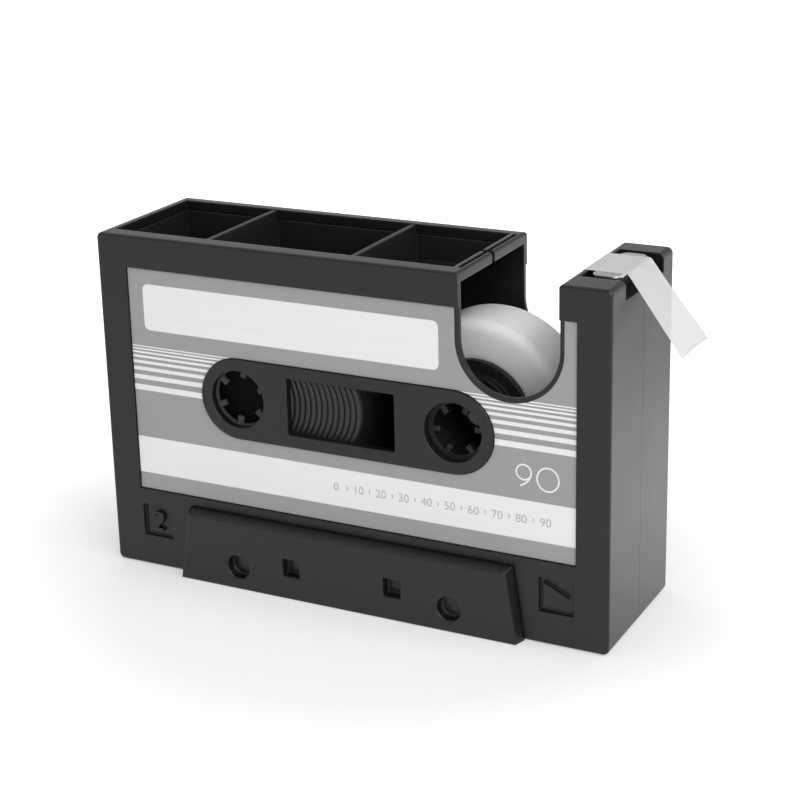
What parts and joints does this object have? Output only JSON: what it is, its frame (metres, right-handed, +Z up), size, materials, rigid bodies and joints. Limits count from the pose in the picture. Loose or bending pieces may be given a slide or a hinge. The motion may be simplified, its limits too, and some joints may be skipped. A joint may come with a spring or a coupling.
{
  "type": "tape dispenser organizer with drawer",
  "caption": "Black desk tidy shaped like a compact cassette, with a three-part pen bin, a tape roll on a turning spool, a toothed cutter and a sliding drawer.",
  "frame": {"origin": "middle of the base, on the underside of the non-slip pad that stands on the desk", "axes": "+X to the right seen from the front (towards the cutter), -Y towards the front with the reels and the drawer, +Z up"},
  "size_m": [0.1842, 0.0543, 0.1103],
  "materials": {
    "case": "satin black",
    "label": "matte grey print",
    "relief": "satin dark grey",
    "reel": "satin dark grey",
    "core": "matte white",
    "tape": "matte translucent",
    "steel": "satin",
    "pad": "matte"
  },
  "bodies": {
    "case": {"front_shell": "case", "rear_shell": "case", "pen_bin": "case", "drawer_bay": "case", "front_label": "label", "pack_relief": "relief", "left_reel": "reel", "spool_axle": "steel", "tape_tail": "tape", "cutter_holder": "case", "cutter_blade": "steel", "cutter_screws": "steel", "ballast_plate": "steel", "base_pad": "pad", "case_screws": "steel"},
    "drawer": {"drawer_tray": "case", "drawer_front": "case", "drawer_screws": "steel"},
    "spool": {"right_reel": "reel", "spool_front": "reel", "spool_rear": "reel", "tape_core": "core", "tape_roll": "tape"}
  },
  "joints": [
    {"name": "drawer_slide", "type": "slide", "parent": "case", "child": "drawer", "axis": [0, -1, 0], "range_m": [0, 0.03]},
    {"name": "spool_spin", "type": "hinge", "parent": "case", "child": "spool", "pos_m": [0.03635, 0, 0.0618], "axis": [0, 1, 0], "continuous": true}
  ]
}
